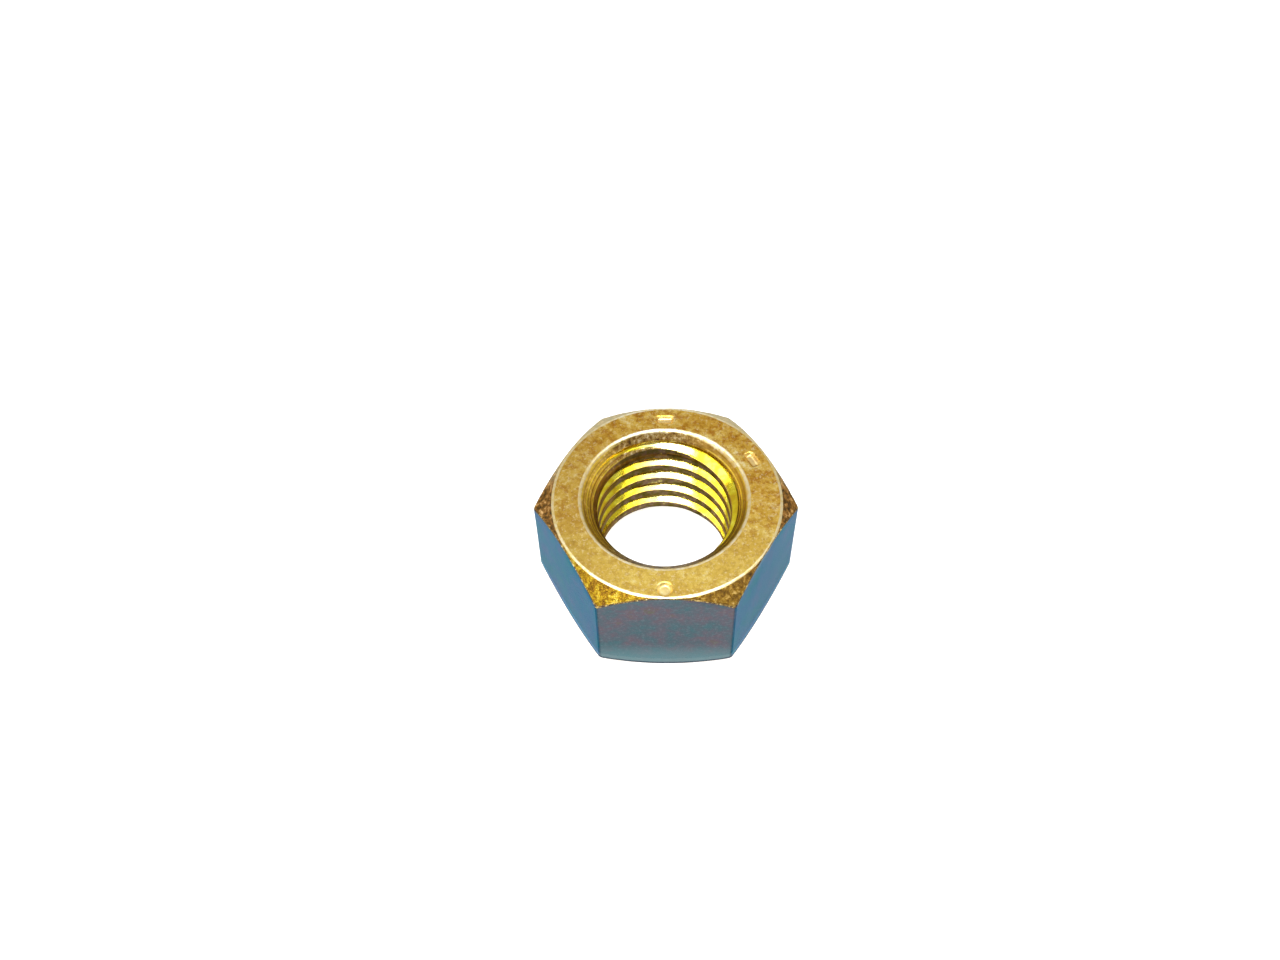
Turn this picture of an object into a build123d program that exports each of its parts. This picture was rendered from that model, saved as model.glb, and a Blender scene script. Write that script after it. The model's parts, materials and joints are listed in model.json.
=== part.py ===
from build123d import *
from build123d.topology import SkipClean
import math
import os

# A coarse-thread hex nut, 5/8 in - 11, forged and tapped in one piece.
# Frame: millimetres, +Z along the thread axis, origin at the centre of the lower bearing face,
# two opposite corners on the X axis and two opposite flats square to Y.

INCH = 25.4

# Outside of the nut
ACROSS_FLATS = 15 / 16 * INCH               # wrench size
THICKNESS = 13.6                            # between the two bearing faces
CORNER_RADIUS = 0.5                         # soft upright corners of the forged blank
BEARING_DIAMETER = 0.985 * ACROSS_FLATS
UPPER_CHAMFER_ANGLE = 43.0                  # fall of the corner chamfers from the bearing face, degrees
LOWER_CHAMFER_ANGLE = 34.0
EDGE_BREAK = 0.18                           # rounding at both rims of each bearing face

# Right-hand thread, 60 degree form
THREAD_MAJOR = 5 / 8 * INCH
THREAD_PITCH = INCH / 11
THREAD_MINOR = 13.86                        # across the flat crests
FLANK_ANGLE = 30.0                          # of each flank from square to the axis, degrees
ROOT_FLAT = THREAD_PITCH / 8
THREAD_START_ANGLE = 301.0                  # where the groove passes the lower face, degrees
TOOL_OVERLAP = 0.35                         # how far the groove cutter reaches into the open bore
BORE_ARCS = 8                               # arcs that make up one turn of the crest wall

# Countersink at each end of the thread
COUNTERSINK_DIAMETER = 1.09 * THREAD_MAJOR
UPPER_COUNTERSINK_HALF_ANGLE = 39.0         # of the cone, from the thread axis, degrees
LOWER_COUNTERSINK_HALF_ANGLE = 45.0

# Grade marks stamped in the upper face: two dashes a sixth of a turn apart, and a plain dot
MARK_RADIUS = 10.5                          # from the axis to the middle of each mark
MARK_DEPTH = 0.35
DASH_ANGLES = (90.0, 30.0)
DASH_LENGTH = 1.9
DASH_WIDTH = 1.0
DOT_ANGLE = 270.0
DOT_DIAMETER = 1.6


def tan_deg(angle):
    return math.tan(math.radians(angle))


def rims_of_radius(body, radius):
    """The circular edges of a body that have this radius and are centred on the axis."""
    circles = body.edges().filter_by(GeomType.CIRCLE)
    return circles.filter_by(lambda e: abs(e.radius - radius) < 0.001 and abs(e.arc_center.X) < 0.001)


def chamfered_hexagon():
    """The hexagonal blank, turned to a cone at both ends so that only its corners are cut back."""
    outline = RegularPolygon(ACROSS_FLATS / 2, 6, major_radius=False)
    outline = fillet(outline.vertices(), CORNER_RADIUS)
    blank = extrude(outline, THICKNESS)

    face_radius = BEARING_DIAMETER / 2
    outer_radius = 0.75 * ACROSS_FLATS
    rise = (outer_radius - face_radius) * tan_deg(LOWER_CHAMFER_ANGLE)
    fall = (outer_radius - face_radius) * tan_deg(UPPER_CHAMFER_ANGLE)
    half_section = Polygon(
        (0, 0), (face_radius, 0), (outer_radius, rise),
        (outer_radius, THICKNESS - fall), (face_radius, THICKNESS), (0, THICKNESS),
        align=None,
    )
    blank &= revolve(Plane.XZ * half_section, Axis.Z)
    return fillet(rims_of_radius(blank, face_radius), EDGE_BREAK)


def countersunk(body):
    """The body with a cone cut into the middle of each bearing face, its rim rounded."""
    rim = COUNTERSINK_DIAMETER / 2
    low_tip = rim / tan_deg(LOWER_COUNTERSINK_HALF_ANGLE)
    high_tip = THICKNESS - rim / tan_deg(UPPER_COUNTERSINK_HALF_ANGLE)
    low = Polygon((0, 0), (rim, 0), (0, low_tip), align=None)
    high = Polygon((0, THICKNESS), (rim, THICKNESS), (0, high_tip), align=None)
    for half_section in (low, high):
        body -= revolve(Plane.XZ * half_section, Axis.Z)
    return fillet(rims_of_radius(body, rim), EDGE_BREAK)


def bore_core():
    """The round space inside the thread crests."""
    step = 360 / BORE_ARCS
    arcs = [CenterArc((0, 0), THREAD_MINOR / 2, i * step, step) for i in range(BORE_ARCS)]
    return extrude(make_face(arcs), THICKNESS)


def thread_groove():
    """Cutters for the helical groove between the crests, one for each turn."""
    inner = THREAD_MINOR / 2 - TOOL_OVERLAP
    outer = THREAD_MAJOR / 2
    half_root = ROOT_FLAT / 2
    half_mouth = half_root + (outer - inner) * tan_deg(FLANK_ANGLE)
    section = Polygon(
        (inner, -half_mouth), (outer, -half_root), (outer, half_root), (inner, half_mouth),
        align=None,
    )
    turn = sweep(Plane.XZ * section, path=Helix(THREAD_PITCH, THREAD_PITCH, outer), is_frenet=True)
    turn = Rot(0, 0, THREAD_START_ANGLE) * turn
    turns_to_top = math.ceil(THICKNESS / THREAD_PITCH)
    return [Pos(0, 0, i * THREAD_PITCH) * turn for i in range(-1, turns_to_top)]


def grade_marks():
    """Cutters for the two dashes and the dot."""
    arc_angle = math.degrees((DASH_LENGTH - DASH_WIDTH) / MARK_RADIUS)
    marks = [
        SlotArc(CenterArc((0, 0), MARK_RADIUS, angle - arc_angle / 2, arc_angle), DASH_WIDTH)
        for angle in DASH_ANGLES
    ]
    marks.append(Rot(0, 0, DOT_ANGLE) * Pos(MARK_RADIUS, 0) * Circle(DOT_DIAMETER / 2))
    return [Pos(0, 0, THICKNESS - MARK_DEPTH) * extrude(mark, 2 * MARK_DEPTH) for mark in marks]


def hex_nut():
    body = countersunk(chamfered_hexagon())
    # The crest wall keeps its separate arcs, so faces on one cylinder are not merged again.
    with SkipClean():
        for cutter in [bore_core(), *thread_groove(), *grade_marks()]:
            body -= cutter
    return body


nut = hex_nut()
nut.label = "hex_nut"
os.makedirs("parts", exist_ok=True)
export_step(nut, "parts/hex_nut.step")
print(f"across corners {nut.bounding_box().size.X:.2f}, across flats {nut.bounding_box().size.Y:.2f}")
print(f"thickness {nut.bounding_box().size.Z:.2f}, volume {nut.volume:.0f}, valid {nut.is_valid}")
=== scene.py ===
import json
import math

import bmesh
import bpy
import numpy as np
from mathutils import Matrix, Vector, noise


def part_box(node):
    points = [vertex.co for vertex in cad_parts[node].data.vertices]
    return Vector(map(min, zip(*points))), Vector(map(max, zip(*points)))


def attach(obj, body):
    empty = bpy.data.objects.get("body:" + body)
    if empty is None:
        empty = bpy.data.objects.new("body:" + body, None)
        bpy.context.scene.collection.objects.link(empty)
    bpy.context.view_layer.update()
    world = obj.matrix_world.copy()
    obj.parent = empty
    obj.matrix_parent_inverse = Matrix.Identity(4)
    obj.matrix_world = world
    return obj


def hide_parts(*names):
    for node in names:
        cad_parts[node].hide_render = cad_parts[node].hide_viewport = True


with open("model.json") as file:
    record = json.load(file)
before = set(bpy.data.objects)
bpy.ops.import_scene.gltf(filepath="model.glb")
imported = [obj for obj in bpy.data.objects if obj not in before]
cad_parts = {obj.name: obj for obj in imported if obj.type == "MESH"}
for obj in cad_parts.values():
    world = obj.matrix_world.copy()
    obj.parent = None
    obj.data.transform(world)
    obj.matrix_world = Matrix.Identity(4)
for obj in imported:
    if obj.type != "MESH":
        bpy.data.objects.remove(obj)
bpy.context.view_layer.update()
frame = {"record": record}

# The nut is worked out in millimetres and made in metres.
MM = 0.001

# Sizes that the frame gives
LOW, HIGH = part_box("hex_nut")
MOUNTS = {mount["name"]: mount for mount in frame["record"]["mounts"]}
FLAT_RADIUS = (HIGH.y - LOW.y) / 2 / MM         # from the axis to a wrench flat
THICKNESS = (HIGH.z - LOW.z) / MM
CREST_RADIUS = MOUNTS["thread"]["dims"]["r_mm"]

# Outside
CORNER_ROUNDING = 0.5
BEARING_RADIUS = 0.985 * FLAT_RADIUS
UPPER_CHAMFER = math.radians(43)                # fall from the bearing face
LOWER_CHAMFER = math.radians(34)
CHAMFER_OFFSET = (0.12, -0.07)                  # the corners were turned a little off the middle
HOLE_OFFSET = (-0.14, 0.12)                     # and so was the hole
SECTORS = 6
COLUMNS_PER_SECTOR = 72
COLUMN_CROWDING = 0.68                          # how much closer columns stand at the corners

# Bore: a right-hand thread of 60 degree form between two countersinks
PITCH = 25.4 / 11
MAJOR_RADIUS = 5 / 16 * 25.4
FLANK_ANGLE = math.radians(30)
ROOT_HALF = PITCH / 16
THREAD_START = math.radians(301)                # where the groove passes the lower face
RIM_RADIUS = 1.09 * MAJOR_RADIUS
UPPER_CONE = math.radians(39)                   # half angle of the countersink, from the axis
LOWER_CONE = math.radians(45)
CREST_ROUNDING = 0.07
ROOT_ROUNDING = 0.16
THREAD_BLEND = 0.04                             # width of the soft edge where the thread leaves a cone
CONE_SHADE_WIDTH = 0.45                              # how far out from the crests the painted shade reaches onto the cones

# Stamped marks in the upper face: (angle, half length along the ring, half width)
MARK_RADIUS = 10.5
MARK_OFFSET = (-0.1, -0.35)                     # the stamp, too, stood a little off the middle
MARK_DEPTH = 0.3
MARK_WALL = 0.42                                # width of a mark's sloping wall
MARKS = [
    (math.radians(90), 0.95, 0.5),
    (math.radians(30), 0.95, 0.5),
    (math.radians(270), 0.8, 0.8),
]
MARK_CUTS = 4

NOISE_SEED = 1                                  # without a seed, noise_vector differs from run to run

# Each is a vertex attribute, from 0 to 1, that the material reads
SURFACES = (
    "on_flat", "on_chamfer", "on_cone", "on_flank", "on_crest",
    "on_rim", "on_edge", "on_lower_edge", "in_mark",
)


# ---------------------------------------------------------------- camera, lights and floor

def look_along(azimuth, elevation, roll):
    """The camera's axes for a view along +Y turned by azimuth, looking down by elevation."""
    ahead = Vector((
        math.sin(azimuth) * math.cos(elevation),
        math.cos(azimuth) * math.cos(elevation),
        -math.sin(elevation),
    ))
    level = Vector((math.cos(azimuth), -math.sin(azimuth), 0))
    above = level.cross(ahead)
    right = math.cos(roll) * level + math.sin(roll) * above
    up = math.cos(roll) * above - math.sin(roll) * level
    return right, up, ahead


def make_camera():
    right, up, ahead = look_along(
        azimuth=math.radians(-1.51), elevation=math.radians(54.5), roll=math.radians(-1.13),
    )
    aim = Vector((-0.0026, 0, 0.01672))
    distance = 0.13026
    data = bpy.data.cameras.new("camera")
    data.sensor_width = 36
    data.lens = 36.505
    data.clip_start = 0.005
    data.clip_end = 10
    camera = bpy.data.objects.new("camera", data)
    bpy.context.scene.collection.objects.link(camera)
    placed = Matrix((right, up, -ahead)).transposed().to_4x4()
    placed.translation = aim - distance * ahead
    camera.matrix_world = placed
    bpy.context.scene.camera = camera


def make_softbox(name, place, target, width, height, brightness):
    """A rectangular light of a given brightness, as seen in a mirror."""
    data = bpy.data.lights.new(name, "AREA")
    data.shape = "RECTANGLE"
    data.size = width
    data.size_y = height
    data.energy = brightness * math.pi * width * height
    light = bpy.data.objects.new(name, data)
    light.location = place
    light.rotation_mode = "QUATERNION"
    light.rotation_quaternion = (Vector(target) - Vector(place)).to_track_quat("-Z", "Y")
    bpy.context.scene.collection.objects.link(light)


def make_lights():
    """A bright key over the front, a wide panel overhead and a dimmer one at the front left."""
    make_softbox("key", (-0.03, -0.13, 0.28), (0, 0, 0), 0.14, 0.10, 18.0)
    make_softbox("overhead", (-0.04, -0.03, 0.285), (-0.04, -0.03, 0), 0.46, 0.17, 3.3)
    make_softbox("front_left_panel", (-0.21, -0.18, 0.22), (0, 0, 0), 0.12, 0.12, 3.4)


def make_world():
    """A pale tent: white low down, dimmer overhead and to the front."""
    world = bpy.data.worlds.new("studio")
    world.use_nodes = True
    tree = Tree(world.node_tree)
    background = world.node_tree.nodes["Background"]
    direction = tree.add("ShaderNodeTexCoord").outputs["Generated"]
    parts = tree.parts(direction)
    grey = [(0.0, 0.95), (0.2, 0.8), (0.62, 0.68), (0.8, 0.47), (1.0, 0.7)]
    light = tree.ramp(parts["Z"], [(position, (level, level, level)) for position, level in grey])
    front = tree.spread(parts["Y"], -0.3, -0.8)
    light = tree.mix(tree.math("MULTIPLY", front, 0.62), light, (0, 0, 0))
    world.node_tree.links.new(light, background.inputs["Color"])
    background.inputs["Strength"].default_value = 1.0
    bpy.context.scene.world = world


def make_floor():
    size = 1.5
    mesh = bpy.data.meshes.new("floor")
    corners = [(-size, -size, 0), (size, -size, 0), (size, size, 0), (-size, size, 0)]
    mesh.from_pydata(corners, [], [(0, 1, 2, 3)])
    material = bpy.data.materials.new("white_floor")
    material.use_nodes = True
    shader = material.node_tree.nodes["Principled BSDF"]
    shader.inputs["Base Color"].default_value = (0.5, 0.5, 0.5, 1)
    shader.inputs["Roughness"].default_value = 0.9
    shader.inputs["Emission Color"].default_value = (1, 1, 1, 1)
    shader.inputs["Emission Strength"].default_value = 0.85
    mesh.materials.append(material)
    floor = bpy.data.objects.new("floor", mesh)
    bpy.context.scene.collection.objects.link(floor)


# ---------------------------------------------------------------- node trees

class Tree:
    """Adds nodes to a node tree, and links or sets their inputs."""

    def __init__(self, node_tree):
        self.nodes = node_tree.nodes
        self.links = node_tree.links

    def add(self, kind, inputs=None, **settings):
        node = self.nodes.new(kind)
        for name, value in settings.items():
            setattr(node, name, value)
        for socket, value in (inputs or {}).items():
            if isinstance(value, bpy.types.NodeSocket):
                self.links.new(value, node.inputs[socket])
            else:
                node.inputs[socket].default_value = value
        return node

    def math(self, operation, first, second=0.0, clamp=False):
        node = self.add("ShaderNodeMath", {0: first, 1: second}, operation=operation, use_clamp=clamp)
        return node.outputs[0]

    def mix(self, factor, first, second):
        """A mix of two colours, each a socket or a colour of three numbers."""
        inputs = {0: factor}
        for socket, value in ((6, first), (7, second)):
            inputs[socket] = value if isinstance(value, bpy.types.NodeSocket) else (*value, 1)
        return self.add("ShaderNodeMix", inputs, data_type="RGBA").outputs[2]

    def ramp(self, value, stops):
        """A colour that follows a value through stops of (position, colour)."""
        node = self.add("ShaderNodeValToRGB", {0: value})
        elements = node.color_ramp.elements
        elements[0].position, elements[1].position = stops[0][0], stops[-1][0]
        elements[0].color, elements[1].color = (*stops[0][1], 1), (*stops[-1][1], 1)
        for position, colour in stops[1:-1]:
            elements.new(position).color = (*colour, 1)
        return node.outputs["Color"]

    def spread(self, value, low, high):
        """0 where the value is at or below low, rising smoothly to 1 at high."""
        node = self.add(
            "ShaderNodeMapRange",
            {"Value": value, "From Min": low, "From Max": high},
            interpolation_type="SMOOTHSTEP",
        )
        return node.outputs["Result"]

    def noise(self, place, size, detail=3.0, roughness=0.55):
        """Noise whose features are about this many millimetres across."""
        inputs = {"Vector": place, "Scale": 1 / size, "Detail": detail, "Roughness": roughness}
        return self.add("ShaderNodeTexNoise", inputs).outputs["Fac"]

    def parts(self, vector):
        """The X, Y and Z of a vector."""
        return self.add("ShaderNodeSeparateXYZ", {0: vector}).outputs

    def attribute(self, name):
        return self.add("ShaderNodeAttribute", attribute_name=name).outputs["Fac"]


# ---------------------------------------------------------------- mesh of the nut

def unit(vectors):
    return vectors / np.linalg.norm(vectors, axis=-1, keepdims=True)


def rounded(before, corner, after, radius, steps):
    """The points of the arc that rounds a corner, one row for each step, for a whole ring at once."""
    to_before = unit(before - corner)
    to_after = unit(after - corner)
    turn = np.pi - np.arccos(np.clip((to_before * to_after).sum(-1), -1, 1))
    radius = np.broadcast_to(radius, turn.shape)
    reach = (radius * np.tan(turn / 2))[..., None]
    centre = corner + unit(to_before + to_after) * (radius / np.cos(turn / 2))[..., None]
    first = corner + to_before * reach - centre
    last = corner + to_after * reach - centre
    rows = []
    for step in range(steps + 1):
        share = step / steps
        weights = np.sin((1 - share) * turn)[..., None] * first + np.sin(share * turn)[..., None] * last
        rows.append(centre + weights / np.sin(turn)[..., None])
    return rows


def straight(start, end, spans, margin=0.07):
    """The rows between two rings, without them. The end ones stand close, to keep the shading tight."""
    length = np.linalg.norm(end - start, axis=-1, keepdims=True)
    near = np.minimum(margin / length, 0.25)
    shares = np.linspace(0, 1, spans - 1)
    return [start + (near + share * (1 - 2 * near)) * (end - start) for share in shares]


def column_angles():
    """The angles of the upright columns of vertices, crowded towards the corners of the hexagon."""
    share = np.arange(COLUMNS_PER_SECTOR) / COLUMNS_PER_SECTOR
    share = share - COLUMN_CROWDING * np.sin(2 * np.pi * share) / (2 * np.pi)
    sector = 2 * np.pi / SECTORS
    return np.concatenate([(number + share) * sector for number in range(SECTORS)])


def from_corner(angles):
    """How far each angle is from the nearest corner of the hexagon, from 0 to a twelfth of a turn."""
    sector = 2 * np.pi / SECTORS
    return np.abs((angles + sector / 2) % sector - sector / 2)


def hexagon_radius(angles):
    """Distance from the axis to the hexagon with rounded corners."""
    off = from_corner(angles)
    centre = (FLAT_RADIUS - CORNER_ROUNDING) / math.cos(math.pi / 6)
    arc_end = math.atan2(
        CORNER_ROUNDING * math.sin(math.pi / 6),
        centre + CORNER_ROUNDING * math.cos(math.pi / 6),
    )
    on_flat = FLAT_RADIUS / np.cos(math.pi / 6 - off)
    inside_arc = np.maximum(CORNER_ROUNDING**2 - (centre * np.sin(off)) ** 2, 0)
    on_arc = centre * np.cos(off) + np.sqrt(inside_arc)
    return np.where(off < arc_end, on_arc, on_flat)


def ring_noise(angles, radius, size, seed):
    """Noise from -1 to 1 along a ring, with features of about this many millimetres."""
    return np.array([
        noise.noise(Vector((math.cos(angle), math.sin(angle), 0)) * (radius / size) + Vector((0, 0, seed)))
        for angle in angles
    ])


def ring(radius, height, like):
    """One (radius, height) pair for each column."""
    return np.stack([np.broadcast_to(radius, like.shape), np.broadcast_to(height, like.shape)], axis=-1)


def outer_rows(angles):
    """Rings of (radius, height) and their surfaces, from one countersink over the outside to the other."""
    hexagon = hexagon_radius(angles)
    corner = np.exp(-((from_corner(angles) / math.radians(3)) ** 2))
    ragged = ring_noise(angles, FLAT_RADIUS, 0.7, 1.5) + 0.6 * ring_noise(angles, FLAT_RADIUS, 0.3, 7.5)
    cone_depth = 1.0
    upper_inner = RIM_RADIUS - cone_depth * math.tan(UPPER_CONE)
    lower_inner = RIM_RADIUS - cone_depth * math.tan(LOWER_CONE)
    bearing = BEARING_RADIUS + CHAMFER_OFFSET[0] * np.cos(angles) + CHAMFER_OFFSET[1] * np.sin(angles)
    fall = (hexagon - bearing) * math.tan(UPPER_CHAMFER) + 0.035 * ragged
    rise = (hexagon - BEARING_RADIUS) * math.tan(LOWER_CHAMFER)
    edge_radius = 0.12 + 0.16 * corner

    # Each corner of the section: its ring, rounding, arc steps, spans to the next corner, and their surface
    section = [
        (ring(upper_inner, THICKNESS - cone_depth, angles), None, 0, 2, "on_cone"),
        (ring(RIM_RADIUS, THICKNESS, angles), 0.35, 5, 11, "on_face"),
        (ring(bearing, THICKNESS, angles), 0.3, 4, 6, "on_chamfer"),
        (ring(hexagon, THICKNESS - fall, angles), edge_radius, 4, 14, "on_flat"),
        (ring(hexagon, rise, angles), edge_radius, 4, 5, "on_chamfer"),
        (ring(BEARING_RADIUS, 0, angles), 0.3, 3, 7, "on_face"),
        (ring(RIM_RADIUS, 0, angles), 0.3, 3, 2, "on_cone"),
        (ring(lower_inner, cone_depth, angles), None, 0, 0, None),
    ]
    arcs = []
    for before, here, after in zip(section, section[1:], section[2:]):
        arcs.append(rounded(before[0], here[0], after[0], here[1], here[2]))

    rows = []
    for number, arc in enumerate(arcs):
        edge = {2: "on_edge", 3: "on_lower_edge"}.get(number, "on_rim")
        rows += [(row, edge) for row in arc]
        if number + 1 < len(arcs):
            spans, surface = section[number + 1][3:]
            rows += [(row, surface) for row in straight(arc[-1], arcs[number + 1][0], spans)]
            if surface == "on_flat":
                # The painted shadow line at the foot reaches a little way up the flat
                rows[-1] = (rows[-1][0], "on_lower_edge")
    return rows


def thread_section():
    """One pitch of the thread's section: (offset along the axis, radius, surface), crest to crest."""
    mouth = ROOT_HALF + (MAJOR_RADIUS - CREST_RADIUS) * math.tan(FLANK_ANGLE)
    half = PITCH / 2
    points = np.array([
        (-half, CREST_RADIUS), (-mouth, CREST_RADIUS), (-ROOT_HALF, MAJOR_RADIUS),
        (ROOT_HALF, MAJOR_RADIUS), (mouth, CREST_RADIUS), (half, CREST_RADIUS),
    ])
    radii = (CREST_ROUNDING, ROOT_ROUNDING, ROOT_ROUNDING, CREST_ROUNDING)
    arcs = [
        rounded(points[i], points[i + 1], points[i + 2], radii[i], 2)
        for i in range(len(radii))
    ]
    # The lower flank of the groove, seen from above, gets more rows than the upper one
    lines = (("on_crest", 2), ("on_flank", 7), (None, 0), ("on_flank", 3), ("on_crest", 2))
    rows = []
    previous = points[0]
    for arc, (surface, spans) in zip([*arcs, [points[-1]]], lines):
        if surface:
            shares = np.arange(0 if previous is points[0] else 1, spans) / spans
            rows += [(*(previous + share * (arc[0] - previous)), surface) for share in shares]
        if len(arc) > 1:
            surface = "on_crest" if arc[0][1] < (CREST_RADIUS + MAJOR_RADIUS) / 2 else "on_flank"
            rows += [(*point, surface) for point in arc]
        previous = arc[-1]
    return rows


def soft_max(first, second, width):
    """The larger of two values, with a soft edge where they meet."""
    near = np.maximum(width - np.abs(first - second), 0) / width
    return np.maximum(first, second) + near**2 * width / 4


class NutMesh:
    """Collects the nut's vertices ring by ring, with the surface that each one lies on."""

    def __init__(self, angles):
        self.angles = angles
        self.points = []
        self.surfaces = []
        self.faces = []

    def add_ring(self, radii, heights, surface):
        """Adds one ring of vertices and returns their numbers."""
        start = len(self.points)
        for angle, radius, height in zip(self.angles, radii, heights):
            self.points.append((radius * math.cos(angle), radius * math.sin(angle), height))
            self.surfaces.append(surface)
        return np.arange(start, len(self.points))

    def join(self, upper, lower):
        """Faces between two rows of vertices, each one longer than the columns by its last column."""
        for column in range(len(upper) - 1):
            around = (upper[column], lower[column], lower[column + 1], upper[column + 1])
            corners = list(dict.fromkeys(int(number) for number in around))
            if len(corners) > 2:
                self.faces.append(corners)


def add_outside(mesh):
    """The outside rings, and the numbers of the first and last one."""
    rings = []
    for row, surface in outer_rows(mesh.angles):
        rings.append(mesh.add_ring(row[:, 0], row[:, 1], surface))
    for upper, lower in zip(rings, rings[1:]):
        mesh.join(np.append(upper, upper[0]), np.append(lower, lower[0]))
    return rings[0], rings[-1]


def add_bore(mesh, upper_ring, lower_ring):
    """The thread and its run-out into the countersinks, as rows that climb with the thread."""
    top = mesh.points[upper_ring[0]][2]
    bottom = mesh.points[lower_ring[0]][2]
    section = thread_section()
    turns = range(-1, math.ceil(THICKNESS / PITCH) + 3)
    close = 0.02
    rows = []
    for turn in turns:
        for offset, radius, surface in section:
            heights = PITCH * (turn + (mesh.angles - THREAD_START) / (2 * np.pi)) + offset
            upper_cone = RIM_RADIUS - (THICKNESS - heights) * math.tan(UPPER_CONE)
            lower_cone = RIM_RADIUS - heights * math.tan(LOWER_CONE)
            cone = np.maximum(upper_cone, lower_cone)
            radii = soft_max(np.full_like(heights, radius), cone, THREAD_BLEND)
            numbers = mesh.add_ring(radii, heights, surface)
            for number in numbers[cone > radius + THREAD_BLEND]:
                mesh.surfaces[number] = "on_cone"
            numbers = np.where(heights > top - close, upper_ring, numbers)
            numbers = np.where(heights < bottom + close, lower_ring, numbers)
            rows.append(numbers)

    per_turn = len(section)
    for row in range(len(rows) - per_turn - 1):
        lower = np.append(rows[row], rows[row + per_turn][0])
        upper = np.append(rows[row + 1], rows[row + 1 + per_turn][0])
        mesh.join(upper, lower)


def moved_hole(point):
    """A vertex moved with the hole: fully inside the rim, and less and less across the bearing faces."""
    radius = math.hypot(point[0], point[1])
    share = min(max((BEARING_RADIUS - 0.5 - radius) / (BEARING_RADIUS - 1 - RIM_RADIUS), 0), 1)
    return Vector(point) + share * Vector((*HOLE_OFFSET, 0))


def roughened(point, surface):
    """A vertex moved a few hundredths of a millimetre, as forging and tapping leave the metal."""
    place = moved_hole(point)
    if surface in ("on_crest", "on_flank", "on_cone"):
        depth = 0.02 if surface == "on_crest" else 0.008
        return place + depth * noise.noise_vector(place * 1.6)
    if surface == "on_flat":
        swell = 0.02 * noise.noise(place * 0.22) + 0.005 * noise.noise(place * 0.9)
        out = Vector((place.x, place.y, 0)).normalized()
        return place + swell * out
    if surface == "on_chamfer":
        return place + 0.02 * noise.noise_vector(place * 1.3)
    inward = 1 if place.z < THICKNESS / 2 else -1
    return place + Vector((0, 0, inward * 0.006 * (1 + noise.noise(place * 0.5))))


def from_mark(place, angle):
    """How far a place on the upper face is from the middle of a mark, along the ring and across it."""
    x, y = place.x - MARK_OFFSET[0], place.y - MARK_OFFSET[1]
    along = abs(-x * math.sin(angle) + y * math.cos(angle))
    across = abs(x * math.cos(angle) + y * math.sin(angle) - MARK_RADIUS)
    return along, across


def mark_depth(place):
    """How deep the marks are at a place on the upper face, from 0 to 1, with rounded ends."""
    deepest = 0.0
    for angle, half_length, half_width in MARKS:
        along, across = from_mark(place, angle)
        end_radius = min(0.35, half_width) if half_length > half_width else half_width
        past_length = along - half_length
        past_width = across - half_width
        past_corner = math.hypot(max(past_length + end_radius, 0), max(past_width + end_radius, 0))
        if past_corner == 0:
            outside = min(max(past_length, past_width), 0)
        else:
            outside = past_corner - end_radius
        share = min(max(-outside / MARK_WALL + 0.25, 0), 1)
        deepest = max(deepest, share * share * (3 - 2 * share))
    return deepest


def stamp_marks(bm, layer):
    """Divides the upper face finely round each mark and presses the mark in."""
    reach = 0.25
    inside = []
    for face in bm.faces:
        centre = face.calc_center_median()
        if centre.z < THICKNESS - 0.02:
            continue
        for angle, half_length, half_width in MARKS:
            along, across = from_mark(centre, angle)
            if along < half_length + reach and across < half_width + reach:
                inside.append(face)
    edges = list(dict.fromkeys(edge for face in inside for edge in face.edges))
    bmesh.ops.subdivide_edges(bm, edges=edges, cuts=MARK_CUTS, use_grid_fill=True)
    for vertex in bm.verts:
        if vertex.co.z > THICKNESS - 0.05:
            depth = mark_depth(vertex.co)
            vertex.co.z -= MARK_DEPTH * depth
            vertex[layer] = depth


def make_nut():
    noise.seed_set(NOISE_SEED)
    shape = NutMesh(column_angles())
    upper_ring, lower_ring = add_outside(shape)
    add_bore(shape, upper_ring, lower_ring)

    used = sorted({number for face in shape.faces for number in face})
    renumbered = {number: place for place, number in enumerate(used)}
    points = [roughened(shape.points[number], shape.surfaces[number]) for number in used]
    surfaces = [shape.surfaces[number] for number in used]
    mesh = bpy.data.meshes.new("nut_body")
    mesh.from_pydata(points, [], [[renumbered[number] for number in face] for face in shape.faces])
    for name in SURFACES:
        attribute = mesh.attributes.new(name, "FLOAT", "POINT")
        attribute.data.foreach_set("value", [float(surface == name) for surface in surfaces])

    bm = bmesh.new()
    bm.from_mesh(mesh)
    stamp_marks(bm, bm.verts.layers.float["in_mark"])
    bmesh.ops.recalc_face_normals(bm, faces=bm.faces)
    bmesh.ops.scale(bm, vec=(MM, MM, MM), verts=bm.verts)
    bm.to_mesh(mesh)
    bm.free()
    mesh.shade_smooth()

    nut = bpy.data.objects.new("nut_body", mesh)
    bpy.context.scene.collection.objects.link(nut)
    mesh.materials.append(yellow_chromate())
    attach(nut, "root")
    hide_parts("hex_nut")


# ---------------------------------------------------------------- material

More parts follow.
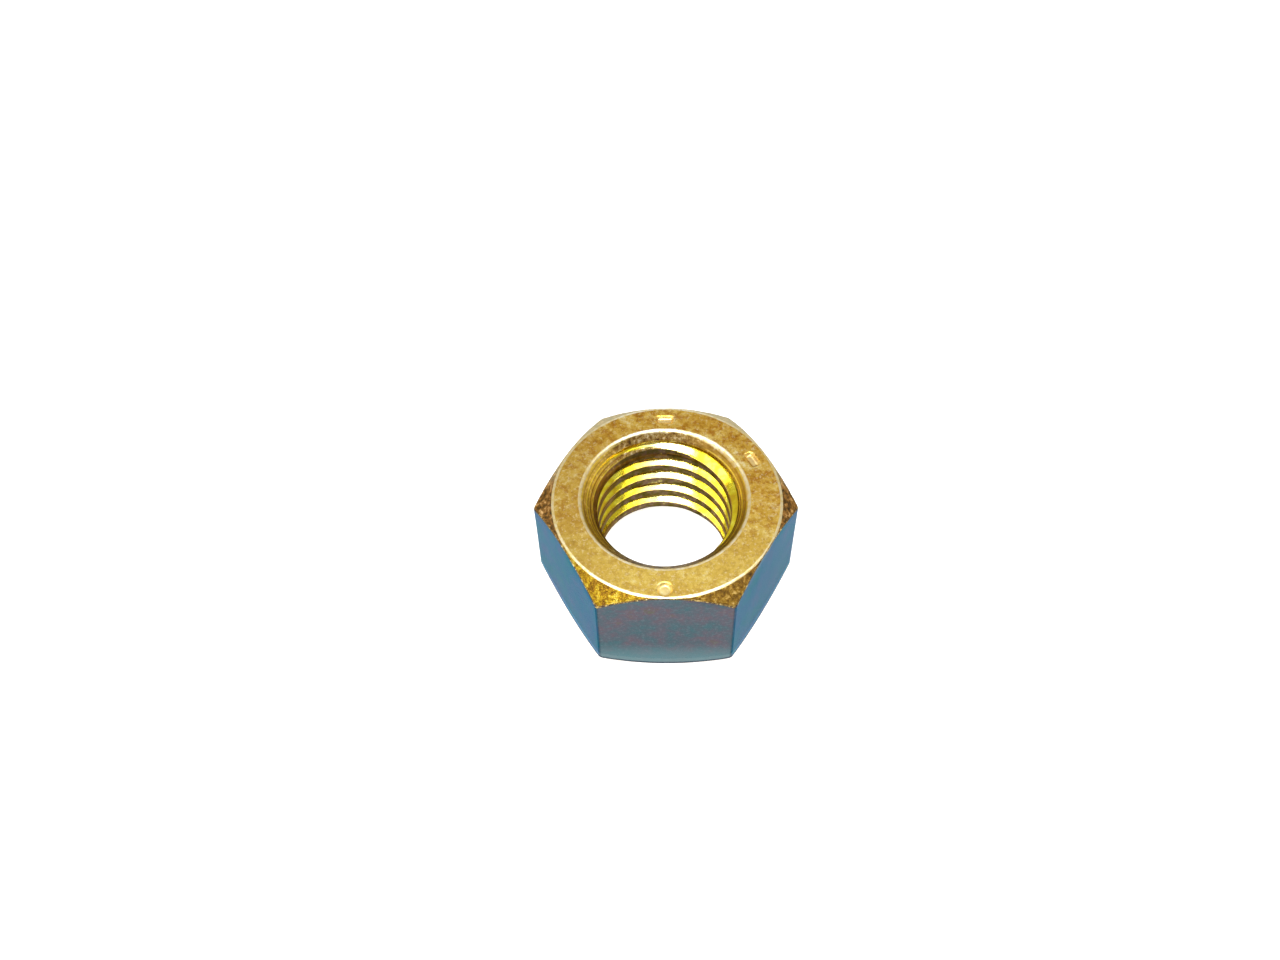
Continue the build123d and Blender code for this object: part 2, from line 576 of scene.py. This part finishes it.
def face_colour(tree, place):
    """Gold of the bearing faces, with painted light making them paler to the front, and darker at the left,
    with rust and pale specks.
    """
    blotch = tree.noise(place, 1.7, detail=8, roughness=0.80)
    colour = tree.ramp(blotch, [
        (0.35, (0.28, 0.10, 0.008)), (0.42, (0.50, 0.25, 0.025)), (0.49, (0.68, 0.42, 0.065)),
        (0.56, (0.78, 0.54, 0.12)), (0.64, (0.94, 0.80, 0.42)),
    ])
    patch = tree.spread(tree.noise(place, 4.5, detail=3), 0.46, 0.64)
    colour = tree.mix(tree.math("MULTIPLY", patch, 0.45), colour, (0.58, 0.29, 0.025))
    parts = tree.parts(place)
    # Painted light: the faces turn paler towards the front.
    painted_light_front = tree.math("MULTIPLY", tree.spread(parts["Y"], 1.0, -9.0), 0.40)
    rust = tree.spread(tree.noise(place, 0.9, detail=6, roughness=0.75), 0.51, 0.40)
    colour = tree.mix(tree.math("MULTIPLY", rust, 0.8), colour, (0.44, 0.17, 0.015))
    colour = tree.mix(painted_light_front, colour, (0.74, 0.59, 0.14))
    left = tree.math("MULTIPLY", tree.spread(parts["X"], -4.0, -10.0), 0.32)
    colour = tree.mix(left, colour, (0.42, 0.26, 0.055))
    speck = tree.spread(tree.noise(place, 0.30, detail=3, roughness=0.7), 0.54, 0.70)
    colour = tree.mix(tree.math("MULTIPLY", speck, 0.6), colour, (0.90, 0.78, 0.42))
    # Painted highlight: the stamped marks are filled with a pale cream.
    return tree.mix(tree.math("MULTIPLY", tree.attribute("in_mark"), 0.5), colour, (1.0, 0.84, 0.42))


def flat_colour(tree, place, normal):
    """Steel blue of the flats, clouded with teal and violet. Two flats are greyer, and the corners get a
    band of painted shade.
    """
    cloud = tree.noise(place, 3.0, detail=7, roughness=0.70)
    blue = tree.ramp(cloud, [
        (0.33, (0.028, 0.194, 0.245)), (0.44, (0.037, 0.182, 0.288)), (0.56, (0.062, 0.166, 0.310)),
        (0.68, (0.120, 0.152, 0.290)),
    ])
    grey = tree.ramp(cloud, [
        (0.32, (0.062, 0.114, 0.126)), (0.44, (0.077, 0.101, 0.114)), (0.53, (0.098, 0.095, 0.111)),
        (0.61, (0.118, 0.089, 0.103)), (0.70, (0.106, 0.104, 0.073)),
    ])
    height = tree.parts(place)["Z"]
    grey = tree.mix(tree.math("MULTIPLY", tree.spread(height, 5.0, 1.0), 0.7), grey, (0.125, 0.225, 0.240))
    facing = tree.math("ABSOLUTE", tree.parts(normal)["Y"])
    colour = tree.mix(tree.spread(facing, 0.80, 0.95), blue, grey)
    # Painted shade: a dark band down the corners beside the two greyer flats.
    corner = tree.math("MULTIPLY", tree.spread(facing, 0.54, 0.64), tree.spread(facing, 0.995, 0.93))
    colour = tree.mix(tree.math("MULTIPLY", corner, 0.6), colour, (0.050, 0.062, 0.075))
    dust = tree.spread(tree.noise(place, 0.35, detail=4, roughness=0.7), 0.46, 0.74)
    return tree.mix(tree.math("MULTIPLY", dust, 0.35), colour, (0.17, 0.21, 0.23))


def chamfer_colour(tree, place):
    """Brown of the coarse turned corners, with painted light making them gold at the front and front left,
    and a painted reflection making them paler to the back.
    """
    # Painted light: the corner towards the front left turns gold.
    toward_lit_corner = tree.add("ShaderNodeVectorMath", {0: place, 1: (-0.5, -0.87, 0)}, operation="DOT_PRODUCT")
    wander = tree.math("MULTIPLY", tree.noise(place, 1.5), 4.0)
    patch = tree.math("ADD", toward_lit_corner.outputs["Value"], wander)
    coarse = tree.noise(place, 0.65, detail=5, roughness=0.74)
    painted_lit_gold = tree.ramp(coarse, [
        (0.36, (0.12, 0.056, 0.010)), (0.46, (0.28, 0.145, 0.012)), (0.55, (0.42, 0.27, 0.015)),
        (0.68, (0.70, 0.55, 0.10)),
    ])
    brown = tree.ramp(coarse, [
        (0.37, (0.055, 0.035, 0.018)), (0.47, (0.16, 0.085, 0.026)), (0.56, (0.34, 0.16, 0.040)),
        (0.68, (0.85, 0.56, 0.24)),
    ])
    across = tree.parts(place)["Y"]
    # Painted light: the corners turn gold towards the front as well.
    front = tree.math("MULTIPLY", tree.spread(across, -6.0, -11.0), 0.4)
    colour = tree.mix(tree.math("MAXIMUM", tree.spread(patch, 11.5, 13.0), front), brown, painted_lit_gold)
    # Painted reflection: the corners turn paler to the back.
    return tree.mix(tree.math("MULTIPLY", tree.spread(across, 1.0, 5.5), 0.6), colour, (0.84, 0.70, 0.38))


def cone_colour(tree, place, from_axis, side):
    """Brown-grained gold of the countersinks, with turned lines at both sides and painted shade to the
    right.
    """
    cone = tree.ramp(tree.noise(place, 0.5, detail=6, roughness=0.74), [
        (0.37, (0.10, 0.055, 0.020)), (0.46, (0.30, 0.16, 0.045)), (0.55, (0.52, 0.34, 0.10)),
        (0.66, (1.0, 0.86, 0.55)),
    ])
    cone = tree.mix(tree.math("MULTIPLY", tree.spread(side, 4.5, 7.5), 0.6), cone, (0.84, 0.58, 0.08))
    # Painted shade: the countersinks turn darker to the right.
    right = tree.math("MULTIPLY", tree.spread(tree.parts(place)["X"], 1.0, 5.0), 0.6)
    cone = tree.mix(right, cone, (0.34, 0.19, 0.022))
    along_radius = tree.add("ShaderNodeCombineXYZ", {0: from_axis}).outputs[0]
    turned = tree.noise(along_radius, 0.22, detail=1)
    lined = tree.spread(side, 3.0, 6.5)
    dark_line = tree.math("MULTIPLY", tree.spread(turned, 0.53, 0.62), lined)
    cone = tree.mix(tree.math("MULTIPLY", dark_line, 0.75), cone, (0.22, 0.10, 0.01))
    bright_line = tree.math("MULTIPLY", tree.spread(turned, 0.46, 0.37), lined)
    return tree.mix(tree.math("MULTIPLY", bright_line, 0.85), cone, (1.0, 0.84, 0.10))


def flank_colour(tree, place, side):
    """Bright yellow of the thread's flanks, with a painted highlight that makes them paler at the back."""
    flank = tree.ramp(tree.noise(place, 1.0, detail=4), [
        (0.36, (0.68, 0.45, 0.022)), (0.5, (0.79, 0.63, 0.026)), (0.64, (0.90, 0.80, 0.08)),
    ])
    # Painted highlight: the flanks at the back, near the middle, turn pale.
    painted_highlight = tree.math("MULTIPLY", tree.spread(tree.parts(place)["Y"], 4.5, 7.0), tree.spread(side, 3.6, 0.4))
    return tree.mix(tree.math("MULTIPLY", painted_highlight, 0.6), flank, (0.97, 0.90, 0.50))


def crest_shade_colour(tree, place, side):
    """Dark brown of the thread's crests as painted shade, with a violet bloom, worn spots and browner
    sides.
    """
    crest = tree.ramp(tree.noise(place, 0.9, detail=5, roughness=0.68), [
        (0.34, (0.072, 0.050, 0.012)), (0.48, (0.115, 0.085, 0.022)), (0.56, (0.15, 0.090, 0.070)),
        (0.64, (0.20, 0.16, 0.045)), (0.72, (0.80, 0.66, 0.25)),
    ])
    return tree.mix(tree.math("MULTIPLY", tree.spread(side, 4.5, 6.9), 0.5), crest, (0.38, 0.19, 0.03))


def bore_colours(tree, place, colour):
    """The countersinks, flanks and crests. The cones are painted dark like the crests next to them, as
    painted shade.
    """
    level = tree.add("ShaderNodeVectorMath", {0: place, 1: (1, 1, 0)}, operation="MULTIPLY")
    to_axis = {0: level.outputs["Vector"], 1: (*HOLE_OFFSET, 0)}
    from_axis = tree.add("ShaderNodeVectorMath", to_axis, operation="DISTANCE").outputs["Value"]
    side = tree.math("ABSOLUTE", tree.parts(place)["X"])
    crest = crest_shade_colour(tree, place, side)
    colour = tree.mix(tree.attribute("on_flank"), colour, flank_colour(tree, place, side))
    # Painted shade: the cones darken like the crests where they meet the thread.
    shade_reach = CREST_RADIUS + CONE_SHADE_WIDTH
    cone_shade = tree.spread(from_axis, shade_reach + 0.06, shade_reach - 0.06)
    cone = tree.mix(cone_shade, cone_colour(tree, place, from_axis, side), crest)
    colour = tree.mix(tree.attribute("on_cone"), colour, cone)
    return tree.mix(tree.attribute("on_crest"), colour, crest)


def edge_colours(tree, place, colour):
    """Pale gold rims as a painted highlight, dimmer at the sides, a ragged gold chamfer edge with painted
    shade and painted glints in its specks, and a painted shadow line at the foot.
    """
    # Painted highlight: the rims are filled with pale gold and cream, dimmer at the sides.
    worn = tree.spread(tree.noise(place, 0.5, detail=3), 0.35, 0.62)
    rim = tree.mix(worn, (0.88, 0.70, 0.30), (1.0, 0.93, 0.70))
    side = tree.math("ABSOLUTE", tree.parts(place)["X"])
    rim = tree.mix(tree.math("MULTIPLY", tree.spread(side, 4.0, 8.5), 0.55), rim, (0.60, 0.44, 0.15))
    colour = tree.mix(tree.attribute("on_rim"), colour, rim)
    # Painted shade and painted glints: dark and cream specks along the chamfer edge, over worn gold.
    ragged = tree.ramp(tree.noise(place, 0.35, detail=4, roughness=0.7), [
        (0.38, (0.06, 0.045, 0.045)), (0.52, (0.16, 0.10, 0.05)), (0.60, (0.62, 0.44, 0.14)),
        (0.72, (0.95, 0.88, 0.62)),
    ])
    colour = tree.mix(tree.attribute("on_edge"), colour, ragged)
    # Painted shadow: a dark navy line along the foot of the flats.
    painted_foot_shadow = tree.spread(tree.attribute("on_lower_edge"), 0.65, 1.0)
    return tree.mix(painted_foot_shadow, colour, (0.016, 0.030, 0.052))


def nut_colour(tree, place, normal):
    """The colours of all surfaces, each laid over the one before."""
    colour = face_colour(tree, place)
    down_to_foot = tree.math("ADD", tree.attribute("on_flat"), tree.attribute("on_lower_edge"), clamp=True)
    colour = tree.mix(down_to_foot, colour, flat_colour(tree, place, normal))
    colour = tree.mix(tree.attribute("on_chamfer"), colour, chamfer_colour(tree, place))
    colour = bore_colours(tree, place, colour)
    return edge_colours(tree, place, colour)


def nut_roughness(tree, fine, smooth):
    """Semi-bright plating: smoother on the flats, most of all on the flanks, and dull at the foot."""
    rough = tree.math("ADD", tree.math("MULTIPLY", fine, 0.25), 0.24)
    rough = tree.math("SUBTRACT", rough, tree.math("MULTIPLY", smooth, 0.14))
    rough = tree.math("SUBTRACT", rough, tree.math("MULTIPLY", tree.attribute("on_flank"), 0.10))
    dull = tree.math("MULTIPLY", tree.attribute("on_lower_edge"), 0.5)
    return tree.math("ADD", rough, dull, clamp=True)


def nut_relief(tree, place, fine, smooth):
    """A fine grain, deeper on the chamfers and their edges and shallower on the flats and flanks."""
    coarse = tree.noise(place, 0.5, detail=4, roughness=0.7)
    grain = tree.math("ADD", fine, tree.math("MULTIPLY", coarse, 1.5))
    rugged = tree.math("ADD", tree.attribute("on_chamfer"), tree.attribute("on_edge"))
    depth = tree.math("ADD", tree.math("MULTIPLY", rugged, 1.6), 0.7)
    depth = tree.math("SUBTRACT", depth, tree.math("MULTIPLY", smooth, 0.5))
    height = tree.math("MULTIPLY", grain, depth)
    bump = tree.add("ShaderNodeBump", {"Height": height, "Distance": 0.02 * MM, "Strength": 1.0})
    return bump.outputs["Normal"]


def yellow_chromate():
    """Zinc-plated steel under a yellow, iridescent film."""
    material = bpy.data.materials.new("yellow_chromate")
    material.use_nodes = True
    tree = Tree(material.node_tree)
    coordinates = tree.add("ShaderNodeTexCoord").outputs
    scaled = {0: coordinates["Object"], "Scale": 1 / MM}
    place = tree.add("ShaderNodeVectorMath", scaled, operation="SCALE").outputs["Vector"]
    fine = tree.noise(place, 0.12, detail=3, roughness=0.65)
    smooth = tree.math("MAXIMUM", tree.attribute("on_flank"), tree.attribute("on_flat"))

    shader = material.node_tree.nodes["Principled BSDF"].inputs
    tree.links.new(nut_colour(tree, place, coordinates["Normal"]), shader["Base Color"])
    tree.links.new(nut_roughness(tree, fine, smooth), shader["Roughness"])
    tree.links.new(nut_relief(tree, place, fine, smooth), shader["Normal"])
    # The foot is not metallic, so its painted shadow line stays dark.
    tree.links.new(tree.math("SUBTRACT", 1.0, tree.attribute("on_lower_edge")), shader["Metallic"])
    shader["Specular Tint"].default_value = (0.33, 0.38, 0.40, 1)
    return material


# ---------------------------------------------------------------- scene

bpy.context.scene.view_settings.view_transform = "Standard"
make_camera()
make_world()
make_floor()
make_lights()
make_nut()
